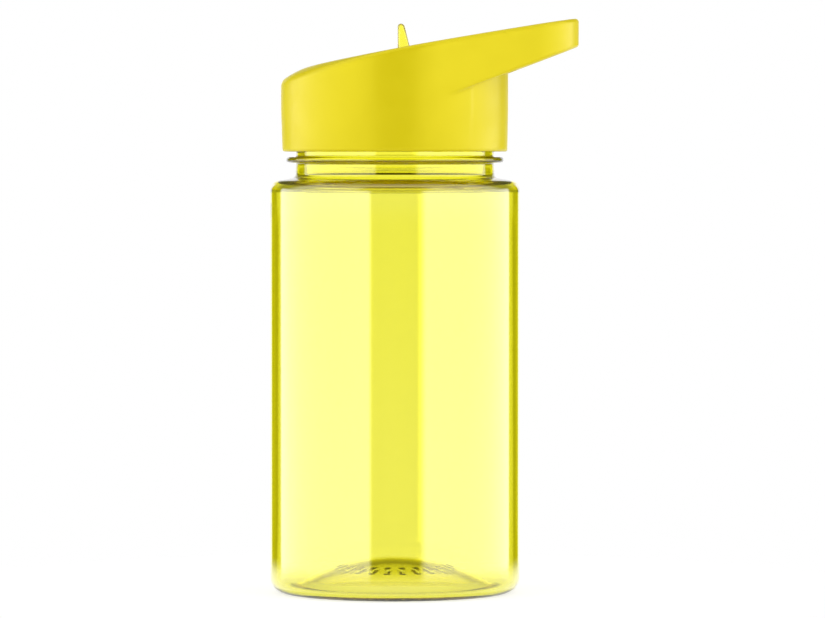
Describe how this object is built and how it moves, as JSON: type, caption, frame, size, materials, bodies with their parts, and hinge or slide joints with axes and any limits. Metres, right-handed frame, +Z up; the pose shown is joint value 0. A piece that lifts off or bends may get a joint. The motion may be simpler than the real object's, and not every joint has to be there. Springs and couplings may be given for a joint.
{
  "type": "kids water bottle",
  "caption": "Small clear drinking bottle with a screw lid that slopes up to a finger loop, and a flip spout with a thumb tab set in a slot in the lid.",
  "frame": {"origin": "on the bottle's axis, on the plane that it stands on", "axes": "+Z up the bottle's axis, +X from the axis towards the finger loop, +Y to complete a right-handed frame"},
  "size_m": [0.0863, 0.07, 0.1606],
  "materials": {
    "clear_body": "clear tinted, polished",
    "clear_spout": "clear tinted, polished",
    "lid": "satin",
    "inner_cap": "satin",
    "seal": "soft silicone, translucent"
  },
  "bodies": {
    "bottle": {"bottle_body": "clear_body"},
    "gasket": {"neck_gasket": "seal"},
    "lid": {"lid_shell": "lid", "lid_insert": "inner_cap", "spout_seal": "seal", "vent_valve": "seal"},
    "spout": {"spout": "clear_spout"}
  },
  "joints": [
    {"name": "lid_lift", "type": "slide", "parent": "bottle", "child": "gasket", "axis": [0, 0, 1], "range_m": [0, 0.024]},
    {"name": "lid_turn", "type": "hinge", "parent": "gasket", "child": "lid", "pos_m": [0, 0, 0.136], "axis": [0, 0, 1], "range_deg": [0, 1080]},
    {"name": "spout_flip", "type": "hinge", "parent": "lid", "child": "spout", "pos_m": [0.003, 0, 0.145], "axis": [0, -1, 0], "range_deg": [0, 90]}
  ],
  "couplings": [
    {"joint": "lid_lift", "follows": "lid_turn", "m_per_rad": 0.0012732}
  ]
}
